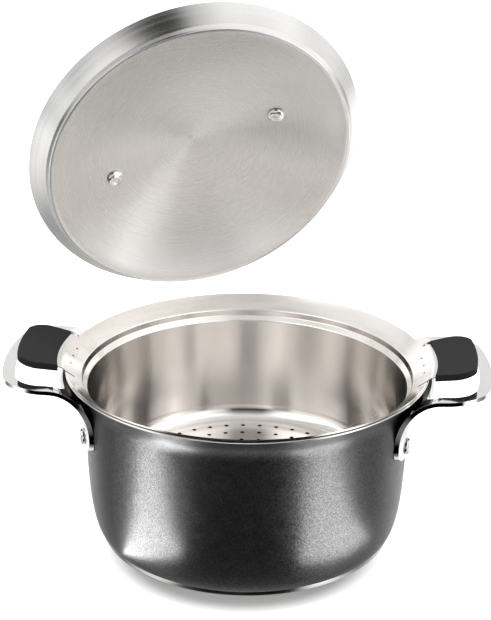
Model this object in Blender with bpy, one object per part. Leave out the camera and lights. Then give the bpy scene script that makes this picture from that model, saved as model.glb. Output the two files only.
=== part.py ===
"""Steamer pot: a coated pot with two riveted loop handles, a lift-out steamer insert and a lid.

The pot stands on the origin, +Z up, with its handles along X. The insert sits in the pot's flared
lip. The lid is shown lifted off and tipped back, turned about an axis behind the rim. Metres.
"""

import math

import bmesh
import bpy
from mathutils import Matrix, Vector

for old_object in list(bpy.data.objects):
    bpy.data.objects.remove(old_object, do_unlink=True)

# How finely round pieces are turned. Every turned piece has a facet, not a corner, on the X axis.
turn_steps = 64
rivet_steps = 12
hole_sides = 6

# Clearance between pieces that touch, and the wider one around pieces that lift out.
seat_gap = 0.0003
lift_gap = 0.0004

# Pot shell, by its outer side. The other pieces take their places from these first sizes.
pot_height = 0.1352
wall_top_radius = 0.1234
flare_width = 0.0132
flare_height = 0.0222
lip_radius = wall_top_radius + flare_width
lip_edge = 0.0012
wall_top_height = pot_height - flare_height
wall_draft = math.radians(2.0)
bend_start_height = 0.0594
bend_draw = 0.0108
shell_bottom_radius = wall_top_radius - bend_draw
wall_thickness = 0.0020
floor_thickness = 0.0030

# Base plate under the shell: a steel dish around an aluminium disc.
base_height = 0.0043
base_inset = 0.0008
base_radius = shell_bottom_radius - base_inset
dish_thickness = 0.0008

# Steamer insert, by its inner and upper side. Its ledge hangs just inside the pot's wall.
insert_thickness = 0.0010
ledge_clearance = 0.0002
ledge_radius = wall_top_radius - wall_thickness - insert_thickness - ledge_clearance
ledge_width = 0.0039
mouth_radius = ledge_radius + ledge_width
flange_inset = 0.0002
flange_radius = lip_radius - flange_inset
flange_rise = 0.0025
flange_height = pot_height + flange_rise
mouth_drop = 0.0098
mouth_height = flange_height - mouth_drop
step_depth = 0.0046
step_draw = 0.0004
ledge_drop = 0.0078
ledge_height = mouth_height - ledge_drop
insert_draw = 0.0079
insert_foot_radius = ledge_radius - insert_draw
insert_floor_height = 0.0350
insert_corner = 0.0140

# Holes of the insert: rings of holes in the floor and a short row of vents beside each tab.
floor_hole_radius = 0.00175
floor_margin = 0.0148
outer_ring_radius = insert_foot_radius - floor_margin
ring_pitch = 0.0133
hole_pitch = 0.0137
vent_radius = 0.0012
vent_inset = 0.0039
vent_circle = flange_radius - vent_inset
vent_spacing = math.radians(5.6)
vents_per_side = 3

# Tabs of the insert, each a tongue that the flange runs out into, inside a soft grip.
tab_facets = 5
tab_half_width = 0.0308
tab_slope = math.radians(10.0)
tab_rise = 0.0017
tab_start_height = flange_height + tab_rise
tab_length = 0.0301
tab_reach = flange_radius + tab_length
tab_corner = 0.0120
slit_width = 0.0009
slit_length = 0.0070
grip_offset = 0.0056
grip_start = flange_radius + grip_offset
grip_margin = 0.0047
grip_reach = tab_reach + grip_margin
grip_side = 0.0018
grip_half_width = tab_half_width + grip_side
grip_flare = 0.0022
grip_rounding = 0.0030
grip_corner = tab_corner + grip_rounding
grip_thickness = 0.0052

# Loop handles of the pot: one bent plate each, riveted at its foot and open where the fingers go.
plate_thickness = 0.0032
plate_chamfer = 0.0008
foot_drop = 0.0552
foot_low = pot_height - foot_drop
foot_length = 0.0145
foot_high = foot_low + foot_length
foot_half_width = 0.0560
foot_corner = 0.0110
loop_drop = 0.0030
loop_low = pot_height - loop_drop
loop_half_width = 0.0620
loop_corner = 0.0240
opening_offset = 0.0039
opening_start = lip_radius + opening_offset
opening_length = 0.0327
opening_end = opening_start + opening_length
loop_bar = 0.0093
loop_reach = opening_end + loop_bar
loop_side = 0.0094
opening_half_width = loop_half_width - loop_side
opening_corner = 0.0140

# Rivets.
rivet_shank = 0.0032
rivet_head = 0.0063
rivet_head_height = 0.0024
rivet_tail = 0.0058
rivet_tail_height = 0.0012
rivet_rise = 0.0080
rivet_height = foot_low + rivet_rise
rivet_azimuth = math.radians(17.7)
lid_rivet_radius = 0.0066
lid_rivet_dome = 0.0032
lid_rivet_circle = 0.0663

# Lid, measured down and up from the plane of its rim.
skirt_overlap = 0.0059
lid_radius = mouth_radius + skirt_overlap
lid_thickness = 0.0010
lid_depth = 0.0156
lid_rise = 0.0163
skirt_slope = math.radians(52.8)
crest_width = 0.0038

# Strap handle of the lid.
lid_handle_height = 0.0500
lid_handle_inset = 0.0163
lid_handle_half_span = lid_rivet_circle - lid_handle_inset
lid_handle_corner = 0.0160
lid_handle_thickness = 0.0030
lid_handle_chamfer = 0.0007
lid_handle_width = 0.0140
lid_foot_width = 0.0200
lid_foot_length = 0.0240

# How the lid is held in the photograph: tipped back about an axis behind the rim.
tip_azimuth = math.radians(112.95)
tip_offset = 0.0078
tip_radius = flange_radius + tip_offset
tip_lift = 0.0065
tip_height = flange_height + tip_lift
tip_axis_rise = math.radians(4.1)
tip_angle = math.radians(69.8)
lid_turn = math.radians(4.5)


def material(name, colour, metallic, roughness):
    """A Principled material with one colour and finish."""
    made = bpy.data.materials.new(name)
    made.use_nodes = True
    shader = made.node_tree.nodes["Principled BSDF"]
    shader.inputs["Base Color"].default_value = (*colour, 1.0)
    shader.inputs["Metallic"].default_value = metallic
    shader.inputs["Roughness"].default_value = roughness
    made.diffuse_color = (*colour, 1.0)
    return made


def finish(mesh_tool, name, surface, parent=None):
    """Turn a bmesh into a named, smooth-shaded object."""
    bmesh.ops.recalc_face_normals(mesh_tool, faces=mesh_tool.faces)
    mesh = bpy.data.meshes.new(name)
    mesh_tool.to_mesh(mesh)
    mesh_tool.free()
    mesh.shade_smooth()
    mesh.set_sharp_from_angle(angle=math.radians(32.0))
    made = bpy.data.objects.new(name, mesh)
    if surface is not None:
        mesh.materials.append(surface)
    bpy.context.scene.collection.objects.link(made)
    made.parent = parent
    return made


def as_cutter(made):
    """Mark an object as a shape that only cuts others."""
    made.hide_render = True
    made.display_type = "WIRE"
    return made


def cut(target, cutter):
    """Take a cutter's shape out of an object."""
    step = target.modifiers.new("cut_" + cutter.name, "BOOLEAN")
    step.operation = "DIFFERENCE"
    step.solver = "EXACT"
    step.object = cutter


def bezier(start, leave, arrive, end, count):
    """Points along a cubic curve, from start to end."""
    points = []
    for number in range(count + 1):
        t = number / count
        weights = ((1 - t) ** 3, 3 * t * (1 - t) ** 2, 3 * t * t * (1 - t), t ** 3)
        point = Vector([0.0] * len(start))
        for weight, corner in zip(weights, (start, leave, arrive, end)):
            point += Vector(corner) * weight
        points.append(point)
    return points


def rounded(corners):
    """A polyline through (r, z, radius, steps) corners, each turned into an arc of that many steps."""
    points = []
    last = len(corners) - 1
    for number, (r, z, radius, steps) in enumerate(corners):
        here = Vector((r, z))
        if number in (0, last) or radius <= 0.0:
            points.append(here)
            continue
        back = Vector(corners[number - 1][:2]) - here
        on = Vector(corners[number + 1][:2]) - here
        half = back.angle(on) / 2
        reach = radius / math.tan(half)
        centre = here + (back.normalized() + on.normalized()).normalized() * radius / math.sin(half)
        first = here + back.normalized() * reach - centre
        turn = first.angle_signed(here + on.normalized() * reach - centre)
        for part in range(steps + 1):
            points.append(centre + Matrix.Rotation(-turn * part / steps, 2) @ first)
    return points


def offset(points, distance):
    """The polyline moved sideways, to the left of its direction for a positive distance."""
    moved = []
    for number, point in enumerate(points):
        before = (point - points[number - 1]).normalized() if number > 0 else None
        after = (points[number + 1] - point).normalized() if number < len(points) - 1 else None
        before = before or after
        after = after or before
        across = Vector((-(before.y + after.y), before.x + after.x)).normalized()
        length = distance / max(0.5, across.dot(Vector((-before.y, before.x))))
        moved.append(point + across * length)
    return moved


def turned(name, outline, surface, parent=None, steps=turn_steps):
    """Spin an (r, z) outline about Z, from the axis round to the axis again."""
    tool = bmesh.new()
    phase = math.pi / steps
    corners = [tool.verts.new((r * math.cos(phase), r * math.sin(phase), z)) for r, z in outline]
    edges = [tool.edges.new(pair) for pair in zip(corners, corners[1:])]
    bmesh.ops.spin(
        tool, geom=corners + edges, axis=(0, 0, 1), cent=(0, 0, 0), steps=steps,
        angle=math.tau, use_merge=True,
    )
    bmesh.ops.remove_doubles(tool, verts=tool.verts, dist=1e-7)
    return finish(tool, name, surface, parent)


def drum(tool, place, radius, half_length, sides):
    """Add a closed prism about the Z axis of a placing matrix."""
    bmesh.ops.create_cone(
        tool, cap_ends=True, cap_tris=False, segments=sides, radius1=radius, radius2=radius,
        depth=2 * half_length, matrix=place,
    )


def loft(tool, rings):
    """Join rings of points into one skin with a face at either end."""
    made = [[tool.verts.new(point) for point in ring] for ring in rings]
    for ring, following in zip(made, made[1:]):
        for k in range(len(ring)):
            after = (k + 1) % len(ring)
            tool.faces.new((ring[k], ring[after], following[after], following[k]))
    tool.faces.new(list(reversed(made[0])))
    tool.faces.new(made[-1])


def strap_ring(centre, along, width):
    """An eight-sided section of the lid's strap, square to its direction."""
    across = Vector((0.0, 1.0, 0.0))
    up = along.cross(across).normalized()
    half = width / 2
    thick = lid_handle_thickness / 2
    flat = thick - lid_handle_chamfer
    side = half - lid_handle_chamfer
    corners = (
        (half, -flat), (half, flat), (side, thick), (-side, thick),
        (-half, flat), (-half, -flat), (-side, -thick), (side, -thick),
    )
    return [centre + across * u + up * v for u, v in corners]


def radial(azimuth, radius, height):
    """The point at an azimuth, a radius and a height."""
    return Vector((radius * math.cos(azimuth), radius * math.sin(azimuth), height))


# Profiles that several pieces share

def wall_radius(height):
    """Outer radius of the straight part of the pot's wall."""
    return wall_top_radius - (wall_top_height - height) * math.tan(wall_draft)


def insert_surface():
    """Upper side of the insert, from the flange's edge to the middle of the floor."""
    return rounded([
        (flange_radius, flange_height, 0.0, 0),
        (mouth_radius, mouth_height, 0.0012, 2),
        (mouth_radius - step_draw, mouth_height - step_depth, 0.0010, 1),
        (ledge_radius, ledge_height, 0.0016, 1),
        (insert_foot_radius, insert_floor_height, insert_corner, 3),
        (0.0, insert_floor_height, 0.0, 0),
    ])


def flange_slope():
    """Slope of the insert's flange."""
    return math.atan2(flange_height - mouth_height, flange_radius - mouth_radius)


def tab_height(radius):
    """Height of the middle of a tab's sheet."""
    return tab_start_height + (radius - grip_start) * math.tan(tab_slope)


def dome_radius():
    """Radius of the sphere that the lid's underside follows inside its crest."""
    edge = crest_inner_radius()
    height = lid_rise + lid_depth
    return (edge * edge + height * height) / (2 * height)


def crest_inner_radius():
    """Where the crest ring of the lid meets the dome."""
    return lid_radius - lid_depth / math.tan(skirt_slope) - crest_width


def dome_height(radius, lift=0.0):
    """Height of the dome above the rim's plane, lift being how far outside the underside."""
    sphere = dome_radius()
    return lid_rise - sphere + math.sqrt((sphere + lift) ** 2 - radius ** 2)


def lid_seat_height():
    """Height of the rim's plane with the skirt seated on the mouth of the insert."""
    inward = lid_radius - mouth_radius
    return mouth_height + (inward * math.sin(skirt_slope) + lift_gap + 0.0001) / math.cos(skirt_slope)


# Materials

coating = material("dark_metallic_coating", (0.075, 0.078, 0.082), 0.6, 0.38)
polished = material("polished_steel", (0.75, 0.75, 0.76), 1.0, 0.12)
satin = material("satin_steel", (0.68, 0.68, 0.67), 1.0, 0.28)
raw_aluminium = material("aluminium", (0.72, 0.72, 0.73), 1.0, 0.45)
silicone = material("black_silicone", (0.018, 0.018, 0.019), 0.0, 0.6)


# Pot

def build_shell():
    """The coated shell with its flared lip, and the four rivet holes in its wall."""
    lip_low = pot_height - lip_edge
    flare = bezier(
        (lip_radius, lip_low), (wall_top_radius + 0.0045, lip_low - 0.0069),
        (wall_top_radius + 0.0005, wall_top_height + 0.0080), (wall_top_radius, wall_top_height), 4,
    )
    bend_radius = wall_radius(bend_start_height)
    bottom = base_height + seat_gap
    bend = bezier(
        (bend_radius, bend_start_height), (bend_radius - 0.0012, bend_start_height * 0.5),
        (shell_bottom_radius + 0.0049, bottom + 0.0056), (shell_bottom_radius, bottom), 6,
    )
    outer = flare + bend + [Vector((0.0, bottom))]

    floor_top = bottom + floor_thickness
    slope = math.tan(flange_slope())
    under_edge = flange_height - (insert_thickness + lift_gap) / math.cos(flange_slope())

    def seat(radius):
        return Vector((radius, under_edge - (flange_radius - radius) * slope))

    neck = mouth_radius + insert_thickness
    top_inner = flange_radius - (under_edge - pot_height) / slope
    inner = [
        Vector((0.0, floor_top)),
        Vector((shell_bottom_radius - 0.0080, floor_top)),
        Vector((shell_bottom_radius - 0.0012, floor_top + 0.0040)),
        *[point for point in reversed(offset(bend, -wall_thickness)) if point.y > floor_top + 0.0120],
        Vector((wall_top_radius - wall_thickness, wall_top_height)),
        Vector((ledge_radius + insert_thickness + lift_gap, ledge_height - insert_thickness)),
        Vector((neck, mouth_height - step_depth - insert_thickness * 0.7)),
        seat(neck),
        Vector((top_inner, pot_height)),
        Vector((lip_radius - 0.0003, pot_height)),
        Vector((lip_radius, pot_height - 0.0003)),
    ]
    shell = turned("pot_shell", [tuple(point) for point in inner + outer], coating)

    tool = bmesh.new()
    for azimuth in rivet_azimuths():
        drum(tool, rivet_place(azimuth), rivet_shank + seat_gap, 0.008, rivet_steps)
    cut(shell, as_cutter(finish(tool, "shell_rivet_holes", None)))
    return shell


def rivet_azimuths():
    """Azimuths of the four handle rivets."""
    return [side + sign * rivet_azimuth for side in (0.0, math.pi) for sign in (-1, 1)]


def rivet_place(azimuth):
    """Matrix on the wall's outer side with Z pointing straight out of the wall."""
    lean = Matrix.Rotation(azimuth, 4, "Z") @ Matrix.Rotation(math.pi / 2 + wall_draft, 4, "Y")
    return Matrix.Translation(radial(azimuth, wall_radius(rivet_height), rivet_height)) @ lean


def build_base():
    """The steel dish that faces the hob and the disc inside it."""
    wall = dish_thickness
    turned("base_dish", [
        (0.0, 0.0), (base_radius - 0.0012, 0.0), (base_radius, 0.0012), (base_radius, base_height),
        (base_radius - wall, base_height), (base_radius - wall, wall), (0.0, wall),
    ], polished)
    core_radius = base_radius - wall - seat_gap
    core_low = wall + seat_gap
    turned("base_core", [
        (0.0, core_low), (core_radius - 0.0008, core_low), (core_radius, core_low + 0.0008),
        (core_radius, base_height), (0.0, base_height),
    ], raw_aluminium)


def handle_profile():
    """Underside of a handle plate in (r, z), from the foot's lower edge to the loop's outer edge."""
    stand = seat_gap + plate_thickness
    foot = Vector((wall_radius(foot_low) + stand, foot_low))
    leave = Vector((wall_radius(foot_high) + stand, foot_high))
    arrive = Vector((opening_start + 0.0125, loop_low - 0.0010))
    bend = bezier(leave, leave + Vector((0.0008, 0.0150)), arrive - Vector((0.0160, 0.0012)), arrive, 12)
    return [foot] + bend + [Vector((loop_reach, loop_low))]


def rounding(distance, radius):
    """How far a rounded corner draws a side in, at a distance from the end of the plate."""
    short = radius - distance
    return radius - math.sqrt(radius ** 2 - short ** 2) if short > 0.0 else 0.0


def handle_rows():
    """Rows of a handle plate: point, normal, outer half width, inner half width, open or not."""
    profile = handle_profile()
    lengths = [0.0]
    for before, after in zip(profile, profile[1:]):
        lengths.append(lengths[-1] + (after - before).length)
    total = lengths[-1]

    def at(length):
        number = max(k for k in range(len(profile) - 1) if lengths[k] <= length + 1e-9)
        before, after = profile[number], profile[number + 1]
        share = (length - lengths[number]) / (lengths[number + 1] - lengths[number])
        return before.lerp(after, share)

    def where(radius):
        number = max(k for k in range(len(profile) - 1) if profile[k].x <= radius)
        share = (radius - profile[number].x) / (profile[number + 1].x - profile[number].x)
        return lengths[number] + share * (lengths[number + 1] - lengths[number])

    start = where(opening_start)
    end = where(opening_end)
    shares = (0.0, 0.08, 0.3, 0.62, 1.0)
    stops = [foot_corner * share for share in shares]
    between = [lengths[k] for k in range(1, len(profile) - 1, 2)]
    stops += [length for length in between if foot_corner + 0.002 < length < start - 0.002]
    stops += [start + opening_corner * share for share in shares]
    stops += [end - opening_corner * share for share in shares]
    beyond = [total - loop_corner * share for share in shares[:-1]]
    stops += [length for length in beyond if length > end + 0.001]
    stops = sorted(set(stops))
    rows = []
    for length in stops:
        before = at(max(0.0, length - 0.001))
        after = at(min(total, length + 0.001))
        along = (after - before).normalized()
        spread = min(1.0, max(0.0, (length - 0.012) / (start - 0.012)))
        spread = spread * spread * (3 - 2 * spread)
        outer = foot_half_width + (loop_half_width - foot_half_width) * spread
        outer -= rounding(length, foot_corner) + rounding(total - length, loop_corner)
        inside = start - 1e-9 <= length <= end + 1e-9
        narrow = opening_half_width - opening_corner
        inner = min(narrow, outer - 0.0020)
        if inside:
            inner = opening_half_width - rounding(length - start, opening_corner)
            inner -= rounding(end - length, opening_corner)
        rows.append((at(length), Vector((-along.y, along.x)), outer, inner, inside))
    return rows


def build_handle(name, turn):
    """A handle plate wrapped about Z, with its finger opening and two rivet holes."""
    rows = handle_rows()
    columns = 6
    tool = bmesh.new()
    layers = []
    for lift in (0.0, plate_thickness):
        layer = []
        for point, normal, outer, inner, _ in rows:
            spot = point + normal * lift
            middle = [inner * (2 * k / columns - 1) for k in range(columns + 1)]
            line = [-outer, -(outer + inner) / 2, *middle, (outer + inner) / 2, outer]
            layer.append([tool.verts.new((math.sqrt(spot.x ** 2 - y * y), y, spot.y)) for y in line])
        layers.append(layer)
    cells = []
    for row in range(len(rows) - 1):
        gap = rows[row][4] and rows[row + 1][4]
        for column in range(columns + 4):
            if not (gap and 1 < column < columns + 2):
                cells.append((row, column))
    edges = {}
    for row, column in cells:
        corners = [(row, column), (row, column + 1), (row + 1, column + 1), (row + 1, column)]
        for layer in layers:
            tool.faces.new([layer[i][j] for i, j in corners])
        for pair in zip(corners, corners[1:] + corners[:1]):
            key = tuple(sorted(pair))
            edges[key] = edges.get(key, 0) + 1
    for (a, b), uses in edges.items():
        if uses == 1:
            lower, upper = layers
            tool.faces.new((lower[a[0]][a[1]], lower[b[0]][b[1]], upper[b[0]][b[1]], upper[a[0]][a[1]]))
    bmesh.ops.delete(tool, geom=[v for v in tool.verts if not v.link_faces], context="VERTS")
    handle = finish(tool, name, polished)
    handle.rotation_euler.z = turn
    soften = handle.modifiers.new("soft_edges", "BEVEL")
    soften.width = plate_chamfer
    soften.segments = 1
    soften.limit_method = "ANGLE"
    soften.angle_limit = math.radians(60.0)

    tool = bmesh.new()
    for sign in (-1, 1):
        drum(tool, rivet_place(sign * rivet_azimuth), rivet_shank + seat_gap, 0.010, rivet_steps)
    holes = as_cutter(finish(tool, name + "_rivet_holes", None))
    holes.rotation_euler.z = turn
    cut(handle, holes)
    return handle


def build_handle_rivets():
    """The four rivets that hold the handles, headed outside and closed inside the wall."""
    outer_face = seat_gap + plate_thickness + seat_gap
    tail_face = wall_thickness + seat_gap + 0.0002
    outline = [
        (0.0, outer_face + rivet_head_height),
        (rivet_head * 0.45, outer_face + rivet_head_height * 0.94),
        (rivet_head * 0.82, outer_face + rivet_head_height * 0.66),
        (rivet_head, outer_face + rivet_head_height * 0.22),
        (rivet_head * 0.98, outer_face),
        (rivet_shank, outer_face),
        (rivet_shank, -tail_face),
        (rivet_tail, -tail_face),
        (rivet_tail * 0.9, -tail_face - rivet_tail_height * 0.8),
        (rivet_tail * 0.5, -tail_face - rivet_tail_height),
        (0.0, -tail_face - rivet_tail_height),
    ]
    names = ["right_front", "right_back", "left_back", "left_front"]
    for name, azimuth in zip(names, rivet_azimuths()):
        rivet = turned("handle_rivet_" + name, outline, polished, steps=rivet_steps)
        rivet.matrix_world = rivet_place(azimuth)


# Steamer insert

def tab_rows():
    """Radius and half width of each row of a tab, from the flange's edge outwards."""
    straight = tab_reach - tab_corner
    rows = [(flange_radius + 0.0050, tab_half_width), (straight, tab_half_width)]
    for number in range(1, 4):
        angle = number * math.pi / 6
        half_width = tab_half_width - tab_corner * (1 - math.cos(angle))
        rows.append((straight + tab_corner * math.sin(angle), half_width))
    return rows


def build_insert():
    """The insert: one turned sheet, whose flange runs out into a tab on either side."""
    top = insert_surface()
    under = offset(top, insert_thickness)
    under[-1].x = 0.0
    under[0] = Vector((flange_radius, flange_height - insert_thickness / math.cos(flange_slope())))
    outline = [tuple(point) for point in reversed(top)] + [tuple(point) for point in under]
    insert = turned("steamer_insert", outline, satin)

    tool = bmesh.new()
    tool.from_mesh(insert.data)
    limit = tab_facets * math.pi / turn_steps + 0.001
    for side in (1, -1):
        edge_faces = []
        for face in tool.faces:
            middle = face.calc_center_median()
            if math.hypot(middle.x, middle.y) < flange_radius - insert_thickness * 0.6:
                continue
            if abs(face.normal.z) < 0.95 and abs(math.atan2(middle.y, side * middle.x)) < limit:
                spread = [math.hypot(v.co.x, v.co.y) for v in face.verts]
                if min(spread) > flange_radius - 0.0005:
                    edge_faces.append(face)
        for radius, half_width in tab_rows():
            grown = bmesh.ops.extrude_face_region(tool, geom=edge_faces, use_keep_orig=True)["geom"]
            bmesh.ops.delete(tool, geom=edge_faces, context="FACES")
            edge_faces = [part for part in grown if isinstance(part, bmesh.types.BMFace)]
            corners = {vertex for face in edge_faces for vertex in face.verts}
            angles = [math.atan2(v.co.y, side * v.co.x) for v in corners]
            widest = max(angles)
            heights = [v.co.z for v in corners]
            middle_height = (max(heights) + min(heights)) / 2
            for vertex in corners:
                share = math.atan2(vertex.co.y, side * vertex.co.x) / widest
                upper = 1 if vertex.co.z > middle_height else -1
                across = half_width * share
                vertex.co.x = side * math.sqrt(radius ** 2 - across ** 2)
                vertex.co.y = across
                vertex.co.z = tab_height(radius) + upper * insert_thickness / 2
    for upward in (1, -1):
        floor = [face for face in tool.faces if face.normal.z * upward > 0.999
                 and abs(face.calc_center_median().z - insert_floor_height) < insert_thickness * 1.5]
        bmesh.ops.dissolve_faces(tool, faces=floor, use_verts=True)
    bmesh.ops.recalc_face_normals(tool, faces=tool.faces)
    tool.to_mesh(insert.data)
    tool.free()
    insert.data.shade_smooth()
    insert.data.set_sharp_from_angle(angle=math.radians(32.0))

    cut(insert, insert_holes())
    return insert


def insert_holes():
    """Every hole through the insert, as one cutter."""
    tool = bmesh.new()
    ring_radius = outer_ring_radius
    middle = Matrix.Translation((0, 0, insert_floor_height - insert_thickness / 2))
    while ring_radius > ring_pitch * 0.7:
        count = round(math.tau * ring_radius / hole_pitch)
        for number in range(count):
            spot = Matrix.Translation(radial(math.tau * number / count + math.pi / 2, ring_radius, 0.0))
            drum(tool, middle @ spot, floor_hole_radius, 0.003, hole_sides)
        ring_radius -= ring_pitch

    vent_height = mouth_height + (vent_circle - mouth_radius) * math.tan(flange_slope())
    tab_half_angle = tab_facets * math.pi / turn_steps
    for side in (0.0, math.pi):
        for number in range(vents_per_side):
            azimuth = side + (number - (vents_per_side - 1) / 2) * vent_spacing
            lean = Matrix.Rotation(azimuth, 4, "Z") @ Matrix.Rotation(-flange_slope(), 4, "Y")
            place = Matrix.Translation(radial(azimuth, vent_circle, vent_height)) @ lean
            drum(tool, place, vent_radius, 0.004, hole_sides)
        for sign in (-1, 1):
            azimuth = side + sign * (tab_half_angle + math.radians(0.35))
            centre = radial(azimuth, flange_radius - slit_length / 2 + 0.001, flange_height - 0.002)
            place = Matrix.Translation(centre) @ Matrix.Rotation(azimuth, 4, "Z")
            box = bmesh.ops.create_cube(tool, size=1.0)["verts"]
            bmesh.ops.scale(tool, verts=box, vec=(slit_length, slit_width, 0.020))
            bmesh.ops.transform(tool, verts=box, matrix=place)
    return as_cutter(finish(tool, "insert_holes", None))


def slab(tool, rows, thickness, columns):
    """A plate that follows a tab's slope, given (radius, half width) rows, on the +X side."""
    layers = []
    for sign in (1, -1):
        layer = []
        for radius, half_width in rows:
            line = []
            for column in range(columns + 1):
                across = half_width * (2 * column / columns - 1)
                x = math.sqrt(radius ** 2 - across ** 2)
                line.append(tool.verts.new((x, across, tab_height(radius) + sign * thickness / 2)))
            layer.append(line)
        layers.append(layer)
    upper, lower = layers
    for row in range(len(rows) - 1):
        for column in range(columns):
            for layer in layers:
                tool.faces.new((layer[row][column], layer[row][column + 1],
                                layer[row + 1][column + 1], layer[row + 1][column]))
        for column in (0, columns):
            tool.faces.new((upper[row][column], upper[row + 1][column],
                            lower[row + 1][column], lower[row][column]))
    for row in (0, len(rows) - 1):
        for column in range(columns):
            tool.faces.new((upper[row][column], upper[row][column + 1],
                            lower[row][column + 1], lower[row][column]))


def build_grip(name, turn):
    """A soft sleeve over a tab, a little wider towards its outer end."""
    tool = bmesh.new()
    straight = grip_reach - grip_corner
    wide = grip_half_width + grip_flare
    middle = ((grip_start + straight) / 2, (grip_half_width + wide) / 2)
    rows = [(grip_start, grip_half_width), middle, (straight, wide)]
    for number in range(1, 5):
        angle = number * math.pi / 2 / 4.6
        rows.append((straight + grip_corner * math.sin(angle), wide - grip_corner * (1 - math.cos(angle))))
    slab(tool, rows, grip_thickness, 8)
    grip = finish(tool, name, silicone)
    grip.rotation_euler.z = turn
    soften = grip.modifiers.new("soft_edges", "BEVEL")
    soften.width = 0.0012
    soften.segments = 1
    soften.limit_method = "ANGLE"
    soften.angle_limit = math.radians(50.0)

    tool = bmesh.new()
    pocket_rows = [(grip_start - 0.004, tab_rows()[0][1] + seat_gap)]
    pocket_rows += [(radius + seat_gap, half + seat_gap) for radius, half in tab_rows()[1:]]
    slab(tool, pocket_rows, insert_thickness + 2 * seat_gap, tab_facets)
    pocket = as_cutter(finish(tool, name + "_pocket", None))
    pocket.rotation_euler.z = turn
    cut(grip, pocket)
    return grip


# Lid

def build_lid(pivot, seat):
    """The drawn lid: a sloping skirt, a crest ring that drops into the mouth, and a shallow dome."""
    crest_outer = lid_radius - lid_depth / math.tan(skirt_slope)
    crest_inner = crest_inner_radius()
    skirt = rounded([
        (lid_radius, 0.0, 0.0, 0), (crest_outer, -lid_depth, 0.0040, 2), (crest_inner, -lid_depth, 0.0, 0),
    ])
    skirt = skirt[:-1] + [Vector((crest_inner + 0.0008, -lid_depth))]
    dome = []
    for number in range(6):
        radius = crest_inner * (1 - number / 5)
        dome.append(Vector((radius, dome_height(radius))))
    dome[0].y += 0.0005
    underside = skirt + dome
    upper = offset(underside, -lid_thickness)
    upper[-1].x = 0.0
    outline = [tuple(point) for point in reversed(underside)] + [tuple(point) for point in upper]
    lid = turned("lid_plate", outline, satin, pivot)
    lid.matrix_parent_inverse = seat

    tool = bmesh.new()
    for sign in (-1, 1):
        drum(tool, lid_rivet_place(sign), rivet_shank + seat_gap, 0.010, rivet_steps)
    holes = as_cutter(finish(tool, "lid_rivet_holes", None, pivot))
    holes.matrix_parent_inverse = seat
    cut(lid, holes)
    return holes


def lid_rivet_place(sign):
    """Matrix on the dome's underside with Z out of the dome, at either end of the handle."""
    lean = math.asin(lid_rivet_circle / dome_radius())
    spot = Matrix.Translation((sign * lid_rivet_circle, 0.0, dome_height(lid_rivet_circle)))
    return spot @ Matrix.Rotation(sign * lean, 4, "Y")


def build_lid_handle(pivot, seat, holes):
    """A strap arch over the dome, with a foot on the dome at each end."""
    lift = lid_thickness + seat_gap + lid_handle_thickness / 2
    foot_out = lid_rivet_circle + lid_foot_length / 2
    foot_in = lid_rivet_circle - lid_foot_length / 2
    line = []
    widths = []
    for share, width in ((0.0, 0.55), (0.15, 0.86), (0.5, 1.0), (1.0, 1.0)):
        radius = foot_out - (foot_out - foot_in) * share
        line.append(Vector((radius, 0.0, dome_height(radius, lift))))
        widths.append(lid_foot_width * width)
    knee = line[-1]
    top = lid_handle_height
    arch = rounded([
        (knee.x, knee.z, 0.0, 0), (lid_handle_half_span, knee.z + 0.0030, 0.0080, 3),
        (lid_handle_half_span - 0.0030, top, lid_handle_corner, 5), (0.0, top, 0.0, 0),
    ])
    for number, point in enumerate(arch[1:]):
        line.append(Vector((point.x, 0.0, point.y)))
        widths.append(max(lid_handle_width, lid_foot_width - 0.0015 * (number + 1)))
    whole = line + [Vector((-p.x, 0.0, p.z)) for p in reversed(line[:-1])]
    widths = widths + list(reversed(widths[:-1]))
    rings = []
    for number, point in enumerate(whole):
        before = whole[max(0, number - 1)]
        after = whole[min(len(whole) - 1, number + 1)]
        rings.append(strap_ring(point, (after - before).normalized(), widths[number]))
    tool = bmesh.new()
    loft(tool, rings)
    handle = finish(tool, "lid_handle", polished, pivot)
    handle.matrix_parent_inverse = seat
    cut(handle, holes)


def build_lid_rivets(pivot, seat):
    """Two rivets with domed heads on the lid's underside and flat tails on the handle's feet."""
    head = []
    for number in range(5):
        angle = number * math.pi / 2 / 4
        depth = seat_gap + 0.0002 + lid_rivet_dome * math.cos(angle)
        head.append((lid_rivet_radius * math.sin(angle), -depth))
    foot_face = lid_thickness + seat_gap + lid_handle_thickness + seat_gap
    outline = head + [
        (rivet_shank, -seat_gap - 0.0002),
        (rivet_shank, foot_face),
        (rivet_tail, foot_face),
        (rivet_tail * 0.85, foot_face + rivet_tail_height),
        (0.0, foot_face + rivet_tail_height),
    ]
    for name, sign in (("lid_rivet_left", -1), ("lid_rivet_right", 1)):
        rivet = turned(name, outline, polished, pivot, steps=rivet_steps)
        rivet.matrix_parent_inverse = seat @ lid_rivet_place(sign)


def build_lid_group():
    """The lid's pieces on an empty that stands on the tipping axis behind the rim."""
    pivot = bpy.data.objects.new("lid_pivot", None)
    bpy.context.scene.collection.objects.link(pivot)
    place = Matrix.Translation(radial(tip_azimuth, tip_radius, tip_height))
    axis_azimuth = tip_azimuth - math.pi / 2
    axis = radial(axis_azimuth, math.cos(tip_axis_rise), math.sin(tip_axis_rise))
    pivot.matrix_world = place @ Matrix.Rotation(-tip_angle, 4, axis)
    seat = Matrix.Translation((0, 0, lid_seat_height())) @ Matrix.Rotation(lid_turn, 4, "Z")
    seat = place.inverted() @ seat
    holes = build_lid(pivot, seat)
    build_lid_handle(pivot, seat, holes)
    build_lid_rivets(pivot, seat)


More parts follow.
